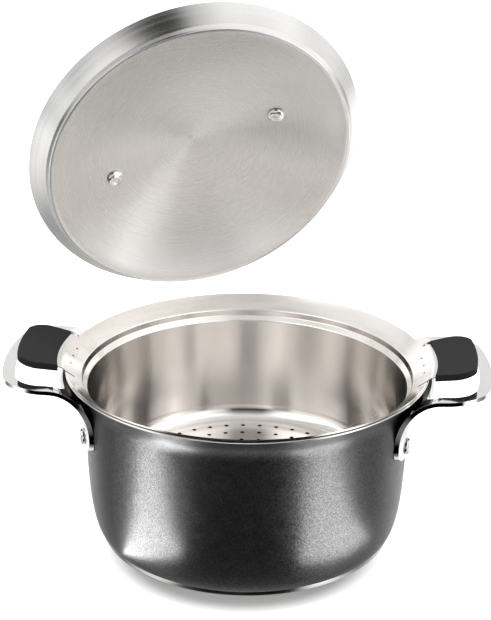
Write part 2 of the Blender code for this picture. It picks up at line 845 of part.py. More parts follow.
build_shell()
build_base()
build_handle("pot_handle_right", 0.0)
build_handle("pot_handle_left", math.pi)
build_handle_rivets()
build_insert()
build_grip("insert_grip_right", 0.0)
build_grip("insert_grip_left", math.pi)
build_lid_group()
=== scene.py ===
import math

import bmesh
import bpy
from mathutils import Matrix, Vector


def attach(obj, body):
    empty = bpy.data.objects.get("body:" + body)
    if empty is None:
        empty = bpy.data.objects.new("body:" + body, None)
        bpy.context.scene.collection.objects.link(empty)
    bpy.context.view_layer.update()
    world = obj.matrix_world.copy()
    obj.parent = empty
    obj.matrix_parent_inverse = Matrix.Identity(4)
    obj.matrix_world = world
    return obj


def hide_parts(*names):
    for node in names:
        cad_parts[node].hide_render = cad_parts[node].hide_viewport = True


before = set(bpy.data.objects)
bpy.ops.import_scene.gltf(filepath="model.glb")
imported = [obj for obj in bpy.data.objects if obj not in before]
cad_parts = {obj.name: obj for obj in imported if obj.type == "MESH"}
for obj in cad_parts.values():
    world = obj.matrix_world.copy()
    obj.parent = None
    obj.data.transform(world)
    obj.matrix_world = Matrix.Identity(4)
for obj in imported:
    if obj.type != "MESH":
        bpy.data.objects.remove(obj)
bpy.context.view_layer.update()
mm = 0.001
samePoint = 1e-7  # metres: points closer than this become one
print("frame: loaded")


# helpers for nodes and colours

def linear(hexColour):
    parts = [int(hexColour[k:k + 2], 16) / 255 for k in (1, 3, 5)]
    return tuple(p / 12.92 if p <= 0.04045 else ((p + 0.055) / 1.055) ** 2.4 for p in parts) + (1.0,)


def addNode(tree, kind, values=None, links=None, **settings):
    node = tree.nodes.new(kind)
    for key, value in settings.items():
        setattr(node, key, value)
    for key, value in (values or {}).items():
        node.inputs[key].default_value = value
    for key, source in (links or {}).items():
        tree.links.new(source, node.inputs[key])
    return node


def newMaterial(name, values):
    material = bpy.data.materials.new(name)
    material.use_nodes = True
    shader = material.node_tree.nodes["Principled BSDF"]
    for key, value in values.items():
        shader.inputs[key].default_value = value
    return material, material.node_tree, shader


def joinLook(tree, shader, tone, sheen, facing):
    tree.links.new(tone.outputs[2], shader.inputs["Base Color"])
    tree.links.new(sheen.outputs[0], shader.inputs["Roughness"])
    tree.links.new(facing.outputs[0], shader.inputs["Normal"])


# materials

# patterns in waves per metre, heights in millimetres, the rest as shares
finishSizes = {
    "padTurn": 0.25, "padWander": 22.0, "padShare": 0.35, "padHeight": 0.02,
    "hazeWaves": 60.0, "hazeRelief": 0.06, "hazeHeight": 0.05,
    "flakeMetal": 0.96, "flakeStart": 0.35, "flakeTilt": 0.06, "cloudWaves": 120.0, "cloudSwing": 0.03,
    "mouldRough": 0.62, "mouldIor": 1.43, "mouldShine": 0.15, "mouldSmooth": 0.55, "mouldMatt": 0.7,
    "mouldRelief": 0.3, "mouldHeight": 0.04,
}


def spunStainless(name, dark, light, smooth, rough, anisotropy, lineMm, relief):
    # sheet steel turned under an abrasive pad: rings about the axis, so light spreads across them
    f = finishSizes
    material, tree, shader = newMaterial(name, {
        "Metallic": 1.0, "Roughness": rough, "Anisotropic": anisotropy, "Anisotropic Rotation": f["padTurn"]})
    place = addNode(tree, "ShaderNodeTexCoord")
    apart = addNode(tree, "ShaderNodeSeparateXYZ", links={0: place.outputs["Object"]})
    flat = addNode(tree, "ShaderNodeCombineXYZ", links={0: apart.outputs[0], 1: apart.outputs[1]})
    radius = addNode(tree, "ShaderNodeVectorMath", links={0: flat.outputs[0]}, operation="LENGTH")
    along = addNode(tree, "ShaderNodeMath", links={0: radius.outputs["Value"], 1: apart.outputs[2]},
                    operation="SUBTRACT")
    rings = addNode(tree, "ShaderNodeTexNoise",
                    {"Scale": 1 / (lineMm * mm), "Detail": 2.0, "Roughness": 0.7},
                    {"W": along.outputs[0]}, noise_dimensions="1D")
    wander = addNode(tree, "ShaderNodeTexNoise", {"Scale": f["padWander"], "Detail": 3.0, "Roughness": 0.6},
                     {"Vector": place.outputs["Object"]})
    both = addNode(tree, "ShaderNodeMix", {0: f["padShare"]}, {2: rings.outputs[0], 3: wander.outputs[0]},
                   data_type="FLOAT")
    tone = addNode(tree, "ShaderNodeMix", {6: linear(dark), 7: linear(light)}, {0: both.outputs[0]},
                   data_type="RGBA")
    sheen = addNode(tree, "ShaderNodeMapRange", {1: 0.3, 2: 0.7, 3: smooth, 4: rough}, {0: both.outputs[0]})
    bump = addNode(tree, "ShaderNodeBump", {"Strength": relief, "Distance": f["padHeight"] * mm},
                   {"Height": rings.outputs[0]})
    tangent = addNode(tree, "ShaderNodeTangent", direction_type="RADIAL", axis="Z")
    joinLook(tree, shader, tone, sheen, bump)
    tree.links.new(tangent.outputs[0], shader.inputs["Tangent"])
    return material


def polishedStainless(name, dark, light, smooth, rough):
    # buffed steel: close to a mirror, with faint hand marks and haze
    f = finishSizes
    material, tree, shader = newMaterial(name, {"Metallic": 1.0, "Roughness": rough})
    place = addNode(tree, "ShaderNodeTexCoord")
    haze = addNode(tree, "ShaderNodeTexNoise", {"Scale": f["hazeWaves"], "Detail": 4.0, "Roughness": 0.65},
                   {"Vector": place.outputs["Object"]})
    tone = addNode(tree, "ShaderNodeMix", {6: linear(dark), 7: linear(light)}, {0: haze.outputs[0]},
                   data_type="RGBA")
    sheen = addNode(tree, "ShaderNodeMapRange", {1: 0.35, 2: 0.7, 3: smooth, 4: rough}, {0: haze.outputs[0]})
    bump = addNode(tree, "ShaderNodeBump", {"Strength": f["hazeRelief"], "Distance": f["hazeHeight"] * mm},
                   {"Height": haze.outputs[0]})
    joinLook(tree, shader, tone, sheen, bump)
    return material


def flakeCoating(name, dark, flake, flakeMm, rough):
    # sprayed and baked non-stick coat with metal flake: each flake lies at its own small tilt, so highlights
    # are grainy and what faces the dark side of the room is nearly black
    f = finishSizes
    material, tree, shader = newMaterial(name, {"Metallic": f["flakeMetal"], "Roughness": rough})
    place = addNode(tree, "ShaderNodeTexCoord")
    flakes = addNode(tree, "ShaderNodeTexVoronoi", {"Scale": 1 / (flakeMm * mm)},
                     {"Vector": place.outputs["Object"]})
    cloud = addNode(tree, "ShaderNodeTexNoise", {"Scale": f["cloudWaves"], "Detail": 3.0},
                    {"Vector": place.outputs["Object"]})
    apart = addNode(tree, "ShaderNodeSeparateColor", links={0: flakes.outputs["Color"]})
    share = addNode(tree, "ShaderNodeMapRange", {1: f["flakeStart"], 2: 1.0}, {0: apart.outputs[0]})
    tone = addNode(tree, "ShaderNodeMix", {6: linear(dark), 7: linear(flake)}, {0: share.outputs[0]},
                   data_type="RGBA")
    swing = f["cloudSwing"]
    sheen = addNode(tree, "ShaderNodeMapRange", {1: 0.3, 2: 0.7, 3: rough + swing, 4: rough - swing},
                    {0: cloud.outputs[0]})
    tilt = addNode(tree, "ShaderNodeVectorMath", {1: (0.5, 0.5, 0.5)}, {0: flakes.outputs["Color"]},
                   operation="SUBTRACT")
    small = addNode(tree, "ShaderNodeVectorMath", {3: f["flakeTilt"]}, {0: tilt.outputs[0]},
                    operation="SCALE")
    around = addNode(tree, "ShaderNodeNewGeometry")
    leaned = addNode(tree, "ShaderNodeVectorMath", links={0: around.outputs["Normal"], 1: small.outputs[0]},
                     operation="ADD")
    facing = addNode(tree, "ShaderNodeVectorMath", links={0: leaned.outputs[0]}, operation="NORMALIZE")
    joinLook(tree, shader, tone, sheen, facing)
    return material


def mouldedSilicone(name, dark, light, grainMm):
    # moulded in a fine spark-eroded tool: matt, with a slight grain and dust-grey haze
    f = finishSizes
    material, tree, shader = newMaterial(name, {"Metallic": 0.0, "Roughness": f["mouldRough"],
                                                "IOR": f["mouldIor"], "Specular IOR Level": f["mouldShine"]})
    place = addNode(tree, "ShaderNodeTexCoord")
    grain = addNode(tree, "ShaderNodeTexNoise",
                    {"Scale": 1 / (grainMm * mm), "Detail": 3.0, "Roughness": 0.7},
                    {"Vector": place.outputs["Object"]})
    tone = addNode(tree, "ShaderNodeMix", {6: linear(dark), 7: linear(light)}, {0: grain.outputs[0]},
                   data_type="RGBA")
    sheen = addNode(tree, "ShaderNodeMapRange", {1: 0.3, 2: 0.7, 3: f["mouldSmooth"], 4: f["mouldMatt"]},
                    {0: grain.outputs[0]})
    bump = addNode(tree, "ShaderNodeBump", {"Strength": f["mouldRelief"], "Distance": f["mouldHeight"] * mm},
                   {"Height": grain.outputs[0]})
    joinLook(tree, shader, tone, sheen, bump)
    return material


lidSteel = spunStainless("satin spun stainless, lid", dark="#d7d6d4", light="#e8e7e5",
                         smooth=0.22, rough=0.29, anisotropy=0.84, lineMm=0.9, relief=0.06)
insertSteel = spunStainless("bright spun stainless, insert", dark="#dedad6", light="#f0edea",
                            smooth=0.12, rough=0.16, anisotropy=0.90, lineMm=0.8, relief=0.05)
plateSteel = polishedStainless("polished stainless, handle plate", dark="#e3e2e0", light="#f3f2f1",
                               smooth=0.05, rough=0.10)
rivetSteel = polishedStainless("polished stainless, rivet", dark="#e0dfdd", light="#f0efee",
                               smooth=0.06, rough=0.11)
baseSteel = polishedStainless("polished stainless, base", dark="#aeadab", light="#c2c1bf",
                              smooth=0.14, rough=0.22)
coating = flakeCoating("dark flake non-stick coating", dark="#3a3a3a", flake="#5e5e5e",
                       flakeMm=0.42, rough=0.33)
silicone = mouldedSilicone("black moulded silicone", dark="#1a1a1b", light="#29292a", grainMm=0.35)
aluminium = polishedStainless("bare aluminium disc", dark="#c8c9ca", light="#dcdddd",
                              smooth=0.3, rough=0.42)
print("materials: made")


# helpers for shapes

def curvePoints(start, leave, arrive, end, count):
    points = []
    for number in range(count + 1):
        t = number / count
        weights = ((1 - t) ** 3, 3 * t * (1 - t) ** 2, 3 * t * t * (1 - t), t ** 3)
        total = Vector((0.0, 0.0))
        for weight, point in zip(weights, (start, leave, arrive, end)):
            total += Vector(point) * weight
        points.append(total)
    return points


def roundedLine(corners, steps=6):
    # each corner is its radius from the axis, its height and how far it is rounded
    points = []
    for number, (r, z, radius) in enumerate(corners):
        here = Vector((r, z))
        if number in (0, len(corners) - 1) or radius <= 0:
            points.append(here)
            continue
        back = Vector(corners[number - 1][:2]) - here
        on = Vector(corners[number + 1][:2]) - here
        half = back.angle(on) / 2
        reach = radius / math.tan(half)
        centre = here + (back.normalized() + on.normalized()).normalized() * radius / math.sin(half)
        first = here + back.normalized() * reach - centre
        turn = first.angle_signed(here + on.normalized() * reach - centre)
        points += [centre + Matrix.Rotation(-turn * k / steps, 2) @ first for k in range(steps + 1)]
    return points


def offsetLine(points, distance):
    moved = []
    for number, point in enumerate(points):
        before = (point - points[number - 1]).normalized() if number > 0 else None
        after = (points[number + 1] - point).normalized() if number < len(points) - 1 else None
        before = before or after
        after = after or before
        across = Vector((-(before.y + after.y), before.x + after.x)).normalized()
        # a sharp bend moves out by no more than twice the distance
        moved.append(point + across * distance / max(0.5, across.dot(Vector((-before.y, before.x)))))
    return moved


def spinOutline(tool, outline, steps):
    # outline in millimetres, from the axis round to the axis again
    phase = math.pi / steps
    corners = [tool.verts.new((r * mm * math.cos(phase), r * mm * math.sin(phase), z * mm))
               for r, z in outline]
    edges = [tool.edges.new(pair) for pair in zip(corners, corners[1:])]
    bmesh.ops.spin(tool, geom=corners + edges, axis=(0, 0, 1), cent=(0, 0, 0), steps=steps, angle=math.tau,
                   use_merge=True)
    bmesh.ops.remove_doubles(tool, verts=tool.verts, dist=samePoint)


def showObject(name, data):
    shown = bpy.data.objects.new(name, data)
    bpy.context.scene.collection.objects.link(shown)
    return shown


def addPiece(name, tool, body, material, nodes, place=None, sharp=35.0):
    bmesh.ops.recalc_face_normals(tool, faces=tool.faces)
    mesh = bpy.data.meshes.new(name)
    tool.to_mesh(mesh)
    tool.free()
    mesh.shade_smooth()
    mesh.set_sharp_from_angle(angle=math.radians(sharp))
    mesh.materials.append(material)
    piece = showObject(name, mesh)
    if place is not None:
        piece.matrix_world = place
    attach(piece, body)
    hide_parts(*nodes)
    return piece


def softenEdges(piece, width, segments, angle=50.0):
    soften = piece.modifiers.new("soft edges", "BEVEL")
    soften.width = width * mm
    soften.segments = segments
    soften.limit_method = "ANGLE"
    soften.angle_limit = math.radians(angle)
    soften.harden_normals = False


def radial(azimuth, radius, height):
    return Vector((radius * math.cos(azimuth), radius * math.sin(azimuth), height)) * mm


# steamer insert: one drawn sheet, by its upper side, in millimetres and degrees
# tabRoot rows: how far out from the flange, how much wider, and the share of the tab's own height

insertSizes = {
    "sheet": 1.0, "steps": 288, "sharp": 30.0, "edgeRound": 0.18, "edgeAngle": 45.0,
    "angleSlack": 0.0005, "edgeSlack": 0.05, "levelSlack": 0.01,
    "flangeRadius": 136.4, "flangeHeight": 137.7,
    "mouthRadius": 124.1, "mouthHeight": 127.9, "mouthCorner": 1.2,
    "stepDepth": 4.6, "stepDraw": 0.4, "stepCorner": 1.0,
    "ledgeRadius": 120.2, "ledgeHeight": 120.1, "ledgeCorner": 1.6,
    "footRadius": 112.3, "floorHeight": 35.0, "corner": 14.0,
    "holeRadius": 1.75, "holeFacets": 12, "outerRing": 97.5, "ringPitch": 13.3, "leastRing": 0.7,
    "ventRadius": 0.9, "ventFacets": 16, "ventDrill": 6.0,
    "ventCircle": 132.5, "ventSpacing": 5.9, "ventLead": 1.6,
    "slitWidth": 1.8, "slitLength": 7.5, "slitMargin": 0.1, "slitSaw": 20.0, "slitOver": 1.0, "slitDrop": 2.0,
    "tabFacets": 21, "tabHalfWidth": 30.8, "tabHeight": 140.2, "tabStart": 142.0, "tabSlope": 10.0,
    "tabReach": 166.5, "tabCorner": 10.0, "tabCornerSteps": 6,
    "tabRoot": [(1.2, 0.1, 0.25), (2.6, 0.03, 0.6), (4.2, 0.0, 0.9), (6.0, 0.0, 1.0)],
}


def flangeSlope():
    s = insertSizes
    return math.atan2(s["flangeHeight"] - s["mouthHeight"], s["flangeRadius"] - s["mouthRadius"])


def insertSurface():
    s = insertSizes
    return roundedLine([
        (s["flangeRadius"], s["flangeHeight"], 0),
        (s["mouthRadius"], s["mouthHeight"], s["mouthCorner"]),
        (s["mouthRadius"] - s["stepDraw"], s["mouthHeight"] - s["stepDepth"], s["stepCorner"]),
        (s["ledgeRadius"], s["ledgeHeight"], s["ledgeCorner"]),
        (s["footRadius"], s["floorHeight"], s["corner"]),
        (0, s["floorHeight"], 0),
    ])


def tabMiddle(radius):
    s = insertSizes
    return s["tabHeight"] + (radius - s["tabStart"]) * math.tan(math.radians(s["tabSlope"]))


def growTab(tool, side):
    # the flange's edge faces are drawn out in rows, first up to the tab's height and last round its corners
    s = insertSizes
    limit = s["tabFacets"] * math.pi / s["steps"] + s["angleSlack"]
    faces = []
    for face in tool.faces:
        middle = face.calc_center_median() / mm
        ring = [math.hypot(v.co.x, v.co.y) / mm for v in face.verts]
        atEdge = min(ring) > s["flangeRadius"] - s["edgeSlack"]
        if atEdge and abs(math.atan2(middle.y, side * middle.x)) < limit:
            faces.append(face)
    half = s["tabHalfWidth"]
    corner = s["tabCorner"]
    straight = s["tabReach"] - corner
    edge = s["flangeRadius"]
    rows = [(edge + out, half + wider, share) for out, wider, share in s["tabRoot"]]
    rows.append((straight, half, 1.0))
    for number in range(1, s["tabCornerSteps"] + 1):
        angle = number * math.pi / (2 * s["tabCornerSteps"] + 1)
        rows.append((straight + corner * math.sin(angle), half - corner * (1 - math.cos(angle)), 1.0))
    edgeMiddle = s["flangeHeight"] - s["sheet"] / math.cos(flangeSlope()) / 2
    for radius, halfWidth, share in rows:
        grown = bmesh.ops.extrude_face_region(tool, geom=faces, use_keep_orig=True)["geom"]
        bmesh.ops.delete(tool, geom=faces, context="FACES")
        faces = [part for part in grown if isinstance(part, bmesh.types.BMFace)]
        corners = {vertex for face in faces for vertex in face.verts}
        widest = max(math.atan2(v.co.y, side * v.co.x) for v in corners)
        heights = [v.co.z for v in corners]
        middle = (max(heights) + min(heights)) / 2
        risen = edgeMiddle + (radius - edge) * math.tan(flangeSlope())
        height = risen * (1 - share) + tabMiddle(radius) * share
        for vertex in corners:
            across = halfWidth * math.atan2(vertex.co.y, side * vertex.co.x) / widest
            upper = 1 if vertex.co.z > middle else -1
            vertex.co.x = side * math.sqrt(radius ** 2 - across ** 2) * mm
            vertex.co.y = across * mm
            vertex.co.z = (height + upper * s["sheet"] / 2) * mm


def floorSpots():
    # rings of holes, each with six more than the one inside it
    s = insertSizes
    spots = []
    ring = s["outerRing"]
    while ring > s["ringPitch"] * s["leastRing"]:
        count = round(6 * ring / s["ringPitch"])
        for number in range(count):
            angle = math.tau * (number + 0.5) / count + math.pi / 2
            spots.append((ring * math.cos(angle), ring * math.sin(angle)))
        ring -= s["ringPitch"]
    return spots


def fillFloor(tool, level):
    s = insertSizes
    facets = s["holeFacets"]
    loops = [edge for edge in tool.edges if edge.is_boundary
             and all(abs(v.co.z / mm - level) < s["levelSlack"] for v in edge.verts)]
    for x, y in floorSpots():
        ring = []
        for number in range(facets):
            angle = math.tau * number / facets
            spot = (x + s["holeRadius"] * math.cos(angle), y + s["holeRadius"] * math.sin(angle), level)
            ring.append(tool.verts.new(Vector(spot) * mm))
        loops += [tool.edges.new((ring[k], ring[(k + 1) % facets])) for k in range(facets)]
    bmesh.ops.triangle_fill(tool, use_beauty=True, use_dissolve=False, edges=loops)


def joinHoles(tool):
    # the wall of each hole joins the floor's two levels, whose corners match to a thousandth of a millimetre
    openings = [edge for edge in tool.edges if edge.is_boundary]
    upper = {}
    for edge in openings:
        a, b = edge.verts
        key = tuple(sorted((round(v.co.x * 1e6), round(v.co.y * 1e6)) for v in (a, b)))
        if key in upper:
            c, d = upper[key].verts
            if (c.co.xy - a.co.xy).length < samePoint:
                tool.faces.new((a, b, d, c))
            else:
                tool.faces.new((a, b, c, d))
        else:
            upper[key] = edge


def makeCutter():
    # three vents in the flange beside each tab, and the slit that frees the tab's front end
    s = insertSizes
    cutTool = bmesh.new()
    slope = flangeSlope()
    ventHeight = s["mouthHeight"] + (s["ventCircle"] - s["mouthRadius"]) * math.tan(slope)
    for side, backward in ((0.0, 1), (math.pi, -1)):
        for number in (-1, 0, 1):
            azimuth = side + math.radians(backward * s["ventLead"] + number * s["ventSpacing"])
            lean = Matrix.Rotation(azimuth, 4, "Z") @ Matrix.Rotation(-slope, 4, "Y")
            place = Matrix.Translation(radial(azimuth, s["ventCircle"], ventHeight)) @ lean
            radius = s["ventRadius"] * mm
            bmesh.ops.create_cone(cutTool, cap_ends=True, segments=s["ventFacets"], radius1=radius,
                                  radius2=radius, depth=s["ventDrill"] * mm, matrix=place)
        slitTurn = s["tabFacets"] * math.pi / s["steps"]
        slitTurn += (s["slitWidth"] / 2 + s["slitMargin"]) / s["flangeRadius"]
        azimuth = side - backward * slitTurn
        centre = radial(azimuth, s["flangeRadius"] - s["slitLength"] / 2 + s["slitOver"],
                        s["flangeHeight"] - s["slitDrop"])
        box = bmesh.ops.create_cube(cutTool, size=1.0)["verts"]
        size = (s["slitLength"] * mm, s["slitWidth"] * mm, s["slitSaw"] * mm)
        bmesh.ops.scale(cutTool, verts=box, vec=size)
        place = Matrix.Translation(centre) @ Matrix.Rotation(azimuth, 4, "Z")
        bmesh.ops.transform(cutTool, verts=box, matrix=place)
    cutMesh = bpy.data.meshes.new("insert cutter")
    cutTool.to_mesh(cutMesh)
    cutTool.free()
    return showObject("insert cutter", cutMesh)


def buildInsert():
    s = insertSizes
    top = insertSurface()[:-1]
    under = offsetLine(top, s["sheet"])
    under[0] = Vector((s["flangeRadius"], s["flangeHeight"] - s["sheet"] / math.cos(flangeSlope())))
    under[-1] = Vector((top[-1].x, s["floorHeight"] - s["sheet"]))
    tool = bmesh.new()
    spinOutline(tool, list(reversed(top)) + under, s["steps"])
    for side in (1, -1):
        growTab(tool, side)
    for level in (s["floorHeight"], s["floorHeight"] - s["sheet"]):
        fillFloor(tool, level)
    joinHoles(tool)
    insert = addPiece("steamerInsert", tool, "insert", insertSteel, ["steamer_insert"],
                      sharp=s["sharp"])
    cutter = makeCutter()
    step = insert.modifiers.new("vents and slits", "BOOLEAN")
    step.operation = "DIFFERENCE"
    step.solver = "EXACT"
    step.object = cutter
    deps = bpy.context.evaluated_depsgraph_get()
    done = bpy.data.meshes.new_from_object(insert.evaluated_get(deps))
    insert.modifiers.clear()
    insert.data = done
    bpy.data.objects.remove(cutter, do_unlink=True)
    done.shade_smooth()
    done.set_sharp_from_angle(angle=math.radians(s["sharp"]))
    softenEdges(insert, s["edgeRound"], segments=1, angle=s["edgeAngle"])


buildInsert()
print("insert: made")


# soft grips on the tabs

gripSizes = {
    "start": 142.0, "reach": 171.2, "halfWidth": 32.6, "flare": 3.4, "corner": 12.5, "thickness": 5.2,
    "round": 1.2, "sideSteps": 4, "cornerSteps": 8, "columns": 24,
}


def buildGrip(name, node, turn):
    s = gripSizes
    straight = s["reach"] - s["corner"]
    wide = s["halfWidth"] + s["flare"]
    steps = s["sideSteps"]
    rows = [(s["start"] + (straight - s["start"]) * k / steps, s["halfWidth"] + s["flare"] * k / steps)
            for k in range(steps + 1)]
    for number in range(1, s["cornerSteps"] + 1):
        angle = number * math.pi / 2 / (s["cornerSteps"] + 0.5)
        rows.append((straight + s["corner"] * math.sin(angle), wide - s["corner"] * (1 - math.cos(angle))))
    columns = s["columns"]
    tool = bmesh.new()
    layers = []
    for sign in (1, -1):
        layer = []
        for radius, halfWidth in rows:
            line = []
            for column in range(columns + 1):
                across = halfWidth * (2 * column / columns - 1)
                x = math.sqrt(radius ** 2 - across ** 2)
                z = tabMiddle(radius) + sign * s["thickness"] / 2
                line.append(tool.verts.new(Vector((x, across, z)) * mm))
            layer.append(line)
        layers.append(layer)
    upper, lower = layers
    last = len(rows) - 1
    for row in range(last):
        for layer in layers:
            near, far = layer[row], layer[row + 1]
            for column in range(columns):
                tool.faces.new((near[column], near[column + 1], far[column + 1], far[column]))
        for column in (0, columns):
            tool.faces.new((upper[row][column], upper[row + 1][column],
                            lower[row + 1][column], lower[row][column]))
    for row in (0, last):
        above, below = upper[row], lower[row]
        for column in range(columns):
            tool.faces.new((above[column], above[column + 1], below[column + 1], below[column]))
    grip = addPiece(name, tool, "insert", silicone, [node], Matrix.Rotation(turn, 4, "Z"),
                    sharp=60.0)
    softenEdges(grip, s["round"], segments=4)


buildGrip("gripRight", "insert_grip_right", 0.0)
buildGrip("gripLeft", "insert_grip_left", math.pi)
print("grips: made")


# pot shell, by its outer side, and the steel dish under it
# flare and bend pairs: how far out, and how far along the height, each curve's handle stands

potSizes = {
    "height": 135.2, "lipRadius": 136.6, "lipEdge": 1.2, "lipRound": 0.3, "lipBreak": 0.35, "lipCut": 0.1,
    "bareWidth": 1.6, "bareDrop": 0.6, "wallTopRadius": 123.4, "wallTopHeight": 113.0, "draft": 2.0,
    "flareAbove": (4.5, 6.9), "flareBelow": (0.5, 8.0), "flareSteps": 14,
    "bendStart": 59.4, "bendAbove": (1.2, 0.5), "bendBelow": (4.9, 5.6), "bendSteps": 24,
    "bottomRadius": 112.6, "wall": 2.0, "floor": 3.0, "floorInset": 2.0, "floorCorner": 6.0,
    "innerBend": 40.0, "innerBendRound": 30.0, "seatCorner": 0.4, "neckShare": 0.7, "neckCorner": 0.8,
    "liftGap": 0.4, "gap": 0.3, "steps": 256,
    "baseRadius": 111.8, "baseHeight": 4.3, "baseWall": 0.8, "baseCorner": 1.3, "baseEdge": 0.3,
}


def wallRadius(height):
    s = potSizes
    return s["wallTopRadius"] - (s["wallTopHeight"] - height) * math.tan(math.radians(s["draft"]))


def shellOutside(lipLow, bottom):
    s = potSizes
    topRadius, topHeight = s["wallTopRadius"], s["wallTopHeight"]
    flare = curvePoints((s["lipRadius"] - s["lipRound"], lipLow),
                        (topRadius + s["flareAbove"][0], lipLow - s["flareAbove"][1]),
                        (topRadius + s["flareBelow"][0], topHeight + s["flareBelow"][1]),
                        (topRadius, topHeight), s["flareSteps"])
    bendRadius = wallRadius(s["bendStart"])
    bend = curvePoints((bendRadius, s["bendStart"]),
                       (bendRadius - s["bendAbove"][0], s["bendStart"] * s["bendAbove"][1]),
                       (s["bottomRadius"] + s["bendBelow"][0], bottom + s["bendBelow"][1]),
                       (s["bottomRadius"], bottom), s["bendSteps"])
    return flare + bend


def shellInside(bottom):
    # above the wall it follows the insert's ledge, step and flange, with a gap for lifting the insert out
    s = potSizes
    i = insertSizes
    slope = math.tan(flangeSlope())
    floorTop = bottom + s["floor"]
    underEdge = i["flangeHeight"] - (i["sheet"] + s["liftGap"]) / math.cos(flangeSlope())
    neck = i["mouthRadius"] + i["sheet"]
    return roundedLine([
        (0, floorTop, 0),
        (s["bottomRadius"] - s["floorInset"], floorTop, s["floorCorner"]),
        (wallRadius(s["innerBend"]) - s["wall"], s["innerBend"], s["innerBendRound"]),
        (s["wallTopRadius"] - s["wall"], s["wallTopHeight"], 0),
        (i["ledgeRadius"] + i["sheet"] + s["liftGap"], i["ledgeHeight"] - i["sheet"], s["seatCorner"]),
        (neck, i["mouthHeight"] - i["stepDepth"] - i["sheet"] * s["neckShare"], s["seatCorner"]),
        (neck, underEdge - (i["flangeRadius"] - neck) * slope, s["neckCorner"]),
        (i["flangeRadius"] - (underEdge - s["height"]) / slope, s["height"], 0),
    ], steps=4)


def buildShell():
    s = potSizes
    lipLow = s["height"] - s["lipEdge"]
    bottom = s["baseHeight"] + s["gap"]
    rim = [Vector((s["lipRadius"] - s["lipBreak"], s["height"])),
           Vector((s["lipRadius"] - s["lipCut"], s["height"] - s["lipCut"])),
           Vector((s["lipRadius"], s["height"] - s["lipBreak"])),
           Vector((s["lipRadius"], lipLow + s["lipRound"]))]
    outline = shellInside(bottom) + rim + shellOutside(lipLow, bottom) + [Vector((0.0, bottom))]
    tool = bmesh.new()
    spinOutline(tool, outline, s["steps"])
    shell = addPiece("potShell", tool, "pot", coating, ["pot_shell"])
    # the lip's edge is left bare when the coat is sprayed
    shell.data.materials.append(plateSteel)
    for face in shell.data.polygons:
        middle = face.center / mm
        outermost = math.hypot(middle.x, middle.y) > s["lipRadius"] - s["bareWidth"]
        if outermost and middle.z > lipLow - s["bareDrop"]:
            face.material_index = 1


def buildBase():
    s = potSizes
    radius, wall, height = s["baseRadius"], s["baseWall"], s["baseHeight"]
    outline = roundedLine([(0, 0, 0), (radius, 0, s["baseCorner"]), (radius, height, s["baseEdge"]),
                           (radius - wall, height, s["baseEdge"]), (radius - wall, wall, 0), (0, wall, 0)],
                          steps=5)
    tool = bmesh.new()
    spinOutline(tool, outline, s["steps"])
    addPiece("baseDish", tool, "pot", baseSteel, ["base_dish"])


buildShell()
buildBase()
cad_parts["base_core"].data.materials.clear()
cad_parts["base_core"].data.materials.append(aluminium)
print("pot: made")


# pot handles: one bent and pierced plate each, from a foot on the pot's wall out to a loop

handleSizes = {
    "plate": 3.2, "edgeRound": 1.35, "middles": 24, "sides": 4,
    "footLow": 80.0, "footHigh": 94.5, "footHalfWidth": 56.0, "footCorner": 11.0,
    "loopLow": 132.2, "loopReach": 182.5, "loopHalfWidth": 62.0, "loopCorner": 24.0,
    "openStart": 140.5, "openEnd": 173.2, "openHalfWidth": 52.6, "openCorner": 14.0, "bandLeast": 2.0,
    "bendLeave": (0.8, 15.0), "bendArrive": (16.0, 1.2), "bendEnd": (12.5, 1.0), "bendSteps": 40,
    "cornerSteps": 8, "rowPitch": 2.0, "rowClear": 0.8, "rowLeast": 0.6, "slopeReach": 1.0,
    "spreadStart": 12.0,
}


def cornerDraw(distance, radius):
    short = radius - distance
    return radius - math.sqrt(radius ** 2 - short ** 2) if short > 0 else 0.0


